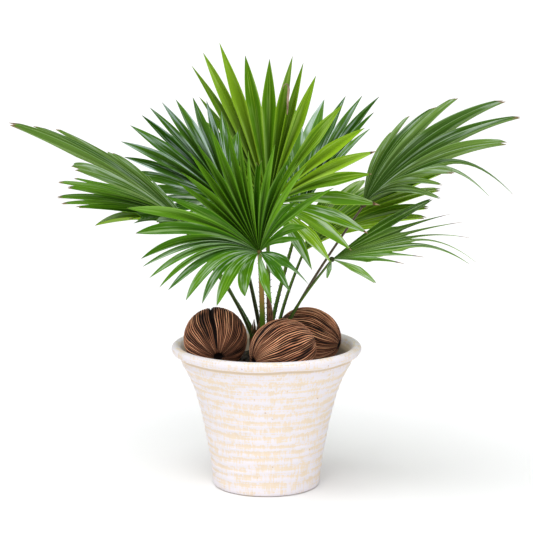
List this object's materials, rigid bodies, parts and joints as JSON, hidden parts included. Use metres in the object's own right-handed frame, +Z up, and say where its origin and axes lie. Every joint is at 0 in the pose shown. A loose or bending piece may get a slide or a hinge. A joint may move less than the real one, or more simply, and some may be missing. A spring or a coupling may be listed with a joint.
{
  "type": "potted fan palm",
  "caption": "Young fan palm with pleated fan-shaped leaves on spiny stalks, in a flared whitewashed clay pot with dried fibrous husks on the soil.",
  "frame": {"origin": "centre of the pot's flat underside", "axes": "+Z up along the pot's axis; -Y towards the big front frond, +X towards the far right frond"},
  "size_m": [0.6523, 0.3047, 0.5791],
  "materials": {
    "whitewashed_clay": "matt pale clay with a brushed white wash",
    "potting_soil": "dark crumbly potting soil",
    "dry_fibre": "dry brown sheath fibre",
    "husk_fibre": "dry brown ribbed husk",
    "palm_leaf": "satin green leaf"
  },
  "bodies": {
    "root": {"pot": "whitewashed_clay", "soil": "potting_soil", "crown": "dry_fibre", "dry_sheath": "dry_fibre", "husk_left": "husk_fibre", "husk_front": "husk_fibre", "husk_back": "husk_fibre", "frond_front": "palm_leaf", "frond_top": "palm_leaf", "frond_upper_left": "palm_leaf", "frond_far_left": "palm_leaf", "frond_left": "palm_leaf", "frond_lower_left": "palm_leaf", "frond_far_right": "palm_leaf", "frond_lower_right": "palm_leaf", "frond_back_right": "palm_leaf", "frond_right": "palm_leaf"}
  },
  "joints": []
}
